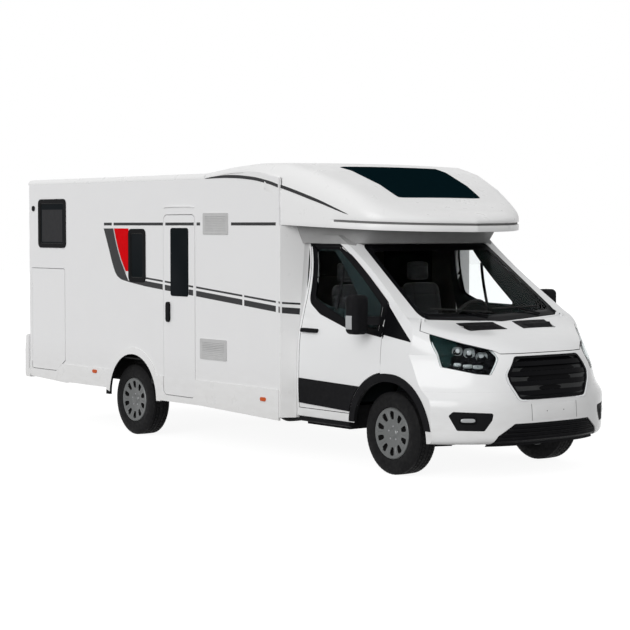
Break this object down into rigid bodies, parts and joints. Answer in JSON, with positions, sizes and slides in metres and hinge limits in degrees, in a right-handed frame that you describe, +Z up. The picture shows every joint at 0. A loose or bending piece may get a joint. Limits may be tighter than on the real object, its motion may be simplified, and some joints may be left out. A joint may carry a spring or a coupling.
{
  "type": "low-profile motorhome",
  "caption": "White low-profile motorhome: a coachbuilt living body with a raised cap and skylight over a front-engined van cab.",
  "frame": {"origin": "on the ground under the middle of the overall length, on the centre line", "axes": "+X forward, +Y to the vehicle's left, +Z up"},
  "size_m": [7.096, 2.48, 2.7671],
  "materials": {
    "aluminium_casting": "cast",
    "amber_lens": "amber lens",
    "black_plastic": "grained black",
    "clear_glass": "clear tinted",
    "dark_glass": "dark",
    "floor_board": "faced board",
    "gloss_black": "gloss black",
    "grey_plastic": "matt",
    "lamp_lens": "clear lens",
    "painted_body": "gloss white",
    "painted_frame": "satin black",
    "red_lens": "red lens",
    "seat_fabric": "woven",
    "silver": "silver paint",
    "soft_grip": "grained",
    "steel": "plain",
    "tyre_rubber": "matt",
    "white_plastic": "gloss white"
  },
  "bodies": {
    "body": {"chassis_frame": "painted_frame", "front_subframe": "painted_frame", "rear_axle": "painted_frame", "engine": "aluminium_casting", "tanks": "black_plastic", "house_floor": "floor_board", "cab_floor": "painted_frame", "side_wall_right": "painted_body", "side_wall_left": "painted_body", "skirt_right": "painted_body", "skirt_left": "painted_body", "rear_wall": "painted_body", "roof": "painted_body", "overcab_cap": "white_plastic", "cap_soffit": "grey_plastic", "front_fairings": "white_plastic", "rear_bumper": "white_plastic", "rear_lamps": "red_lens", "window_frames": "gloss_black", "window_panes": "dark_glass", "body_vents": "grey_plastic", "skylight": "dark_glass", "roof_hatches": "white_plastic", "marker_lamps": "amber_lens", "cab_shell": "painted_body", "front_bumper": "painted_body", "headlamps": "lamp_lens", "fog_lamps": "black_plastic", "windscreen": "clear_glass", "grille": "gloss_black", "lower_intake": "black_plastic", "quarter_panels": "gloss_black", "cab_trims": "black_plastic", "dashboard": "black_plastic", "seat_boxes": "black_plastic", "seat_cushions": "seat_fabric", "seat_backs": "seat_fabric"},
    "steering_wheel": {"steering_wheel": "soft_grip"},
    "bonnet": {"bonnet": "painted_body"},
    "knuckle_left": {"knuckle_left": "steel"},
    "knuckle_right": {"knuckle_right": "steel"},
    "entrance_door": {"entrance_door": "painted_body", "entrance_window": "dark_glass"},
    "garage_door_right": {"garage_door_right": "painted_body"},
    "garage_door_left": {"garage_door_left": "painted_body"},
    "cab_door_left": {"cab_door_left": "painted_body", "cab_door_glass_left": "clear_glass", "door_mirror_left": "black_plastic"},
    "wheel_front_left": {"wheel_front_left": "silver", "tyre_front_left": "tyre_rubber"},
    "wheel_rear_left": {"wheel_rear_left": "silver", "tyre_rear_left": "tyre_rubber"},
    "cab_door_right": {"cab_door_right": "painted_body", "cab_door_glass_right": "clear_glass", "door_mirror_right": "black_plastic"},
    "wheel_front_right": {"wheel_front_right": "silver", "tyre_front_right": "tyre_rubber"},
    "wheel_rear_right": {"wheel_rear_right": "silver", "tyre_rear_right": "tyre_rubber"}
  },
  "joints": [
    {"name": "steer_left", "type": "hinge", "parent": "body", "child": "knuckle_left", "pos_m": [2.5315, 0.702, 0.362], "axis": [0, 0, 1], "range_deg": [-32, 32]},
    {"name": "steer_right", "type": "hinge", "parent": "body", "child": "knuckle_right", "pos_m": [2.5315, -0.702, 0.362], "axis": [0, 0, 1], "range_deg": [-32, 32]},
    {"name": "steering_wheel_turn", "type": "hinge", "parent": "body", "child": "steering_wheel", "pos_m": [2.0375, 0.4, 1.3], "axis": [0.866, 0, -0.5], "range_deg": [-490, 490]},
    {"name": "spin_front_left", "type": "hinge", "parent": "knuckle_left", "child": "wheel_front_left", "pos_m": [2.5315, 0.866, 0.362], "axis": [0, 1, 0], "continuous": true},
    {"name": "spin_front_right", "type": "hinge", "parent": "knuckle_right", "child": "wheel_front_right", "pos_m": [2.5315, -0.866, 0.362], "axis": [0, 1, 0], "continuous": true},
    {"name": "spin_rear_left", "type": "hinge", "parent": "body", "child": "wheel_rear_left", "pos_m": [-1.4225, 0.9875, 0.362], "axis": [0, 1, 0], "continuous": true},
    {"name": "spin_rear_right", "type": "hinge", "parent": "body", "child": "wheel_rear_right", "pos_m": [-1.4225, -0.9875, 0.362], "axis": [0, 1, 0], "continuous": true},
    {"name": "cab_door_left_hinge", "type": "hinge", "parent": "body", "child": "cab_door_left", "pos_m": [2.4455, 1.029, 0.924], "axis": [0, 0, -1], "range_deg": [0, 68]},
    {"name": "cab_door_right_hinge", "type": "hinge", "parent": "body", "child": "cab_door_right", "pos_m": [2.4455, -1.029, 0.924], "axis": [0, 0, 1], "range_deg": [0, 68]},
    {"name": "entrance_door_hinge", "type": "hinge", "parent": "body", "child": "entrance_door", "pos_m": [-0.1795, -1.179, 1.3], "axis": [0, 0, 1], "range_deg": [0, 90]},
    {"name": "garage_door_right_hinge", "type": "hinge", "parent": "body", "child": "garage_door_right", "pos_m": [-3.3985, -1.179, 1.1], "axis": [0, 0, -1], "range_deg": [0, 90]},
    {"name": "garage_door_left_hinge", "type": "hinge", "parent": "body", "child": "garage_door_left", "pos_m": [-3.3985, 1.179, 1.1], "axis": [0, 0, 1], "range_deg": [0, 90]},
    {"name": "bonnet_hinge", "type": "hinge", "parent": "body", "child": "bonnet", "pos_m": [2.7675, 0, 1.366], "axis": [0, -1, 0], "range_deg": [0, 50]}
  ],
  "couplings": [
    {"joint": "steer_right", "follows": "steer_left", "ratio": 1},
    {"joint": "steering_wheel_turn", "follows": "steer_left", "ratio": -15}
  ]
}
